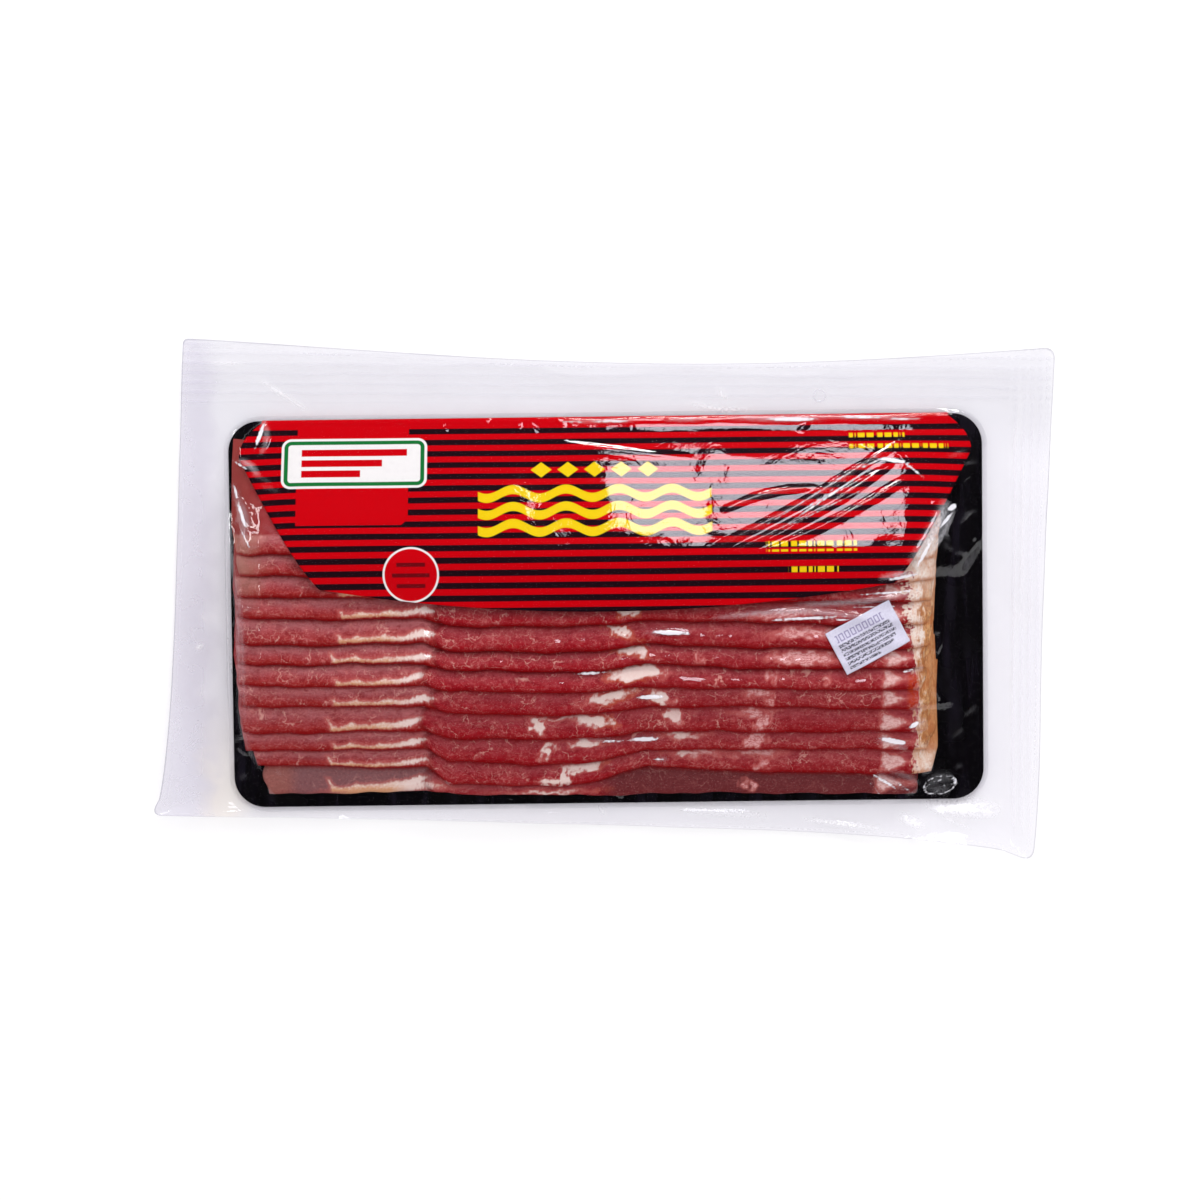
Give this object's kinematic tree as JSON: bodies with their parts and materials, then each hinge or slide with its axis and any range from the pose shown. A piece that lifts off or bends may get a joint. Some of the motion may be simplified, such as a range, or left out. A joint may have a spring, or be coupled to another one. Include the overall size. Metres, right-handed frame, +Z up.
{
  "type": "vacuum pack of sliced bacon",
  "caption": "Flat clear vacuum pack of overlapping sliced bacon on a black board, with a striped printed card over the upper half; food for a shop shelf or fridge.",
  "frame": {"origin": "middle of the bag's plan outline, on the flat underside that it rests on", "axes": "+X along the slices to the right of the print, +Y to the top of the print, +Z up out of the printed side"},
  "size_m": [0.2927, 0.1689, 0.0211],
  "materials": {
    "clear_film": "clear and glossy",
    "black_board": "glossy coated board",
    "bacon": "moist raw meat with fat",
    "printed_card": "glossy printed card",
    "white_paper": "matt paper sticker"
  },
  "bodies": {
    "root": {"bag": "clear_film", "board": "black_board", "slice_01": "bacon", "slice_02": "bacon", "slice_03": "bacon", "slice_04": "bacon", "slice_05": "bacon", "slice_06": "bacon", "slice_07": "bacon", "slice_08": "bacon", "slice_09": "bacon", "slice_10": "bacon", "slice_11": "bacon", "slice_12": "bacon", "printed_card": "printed_card", "date_sticker": "white_paper"}
  },
  "joints": []
}
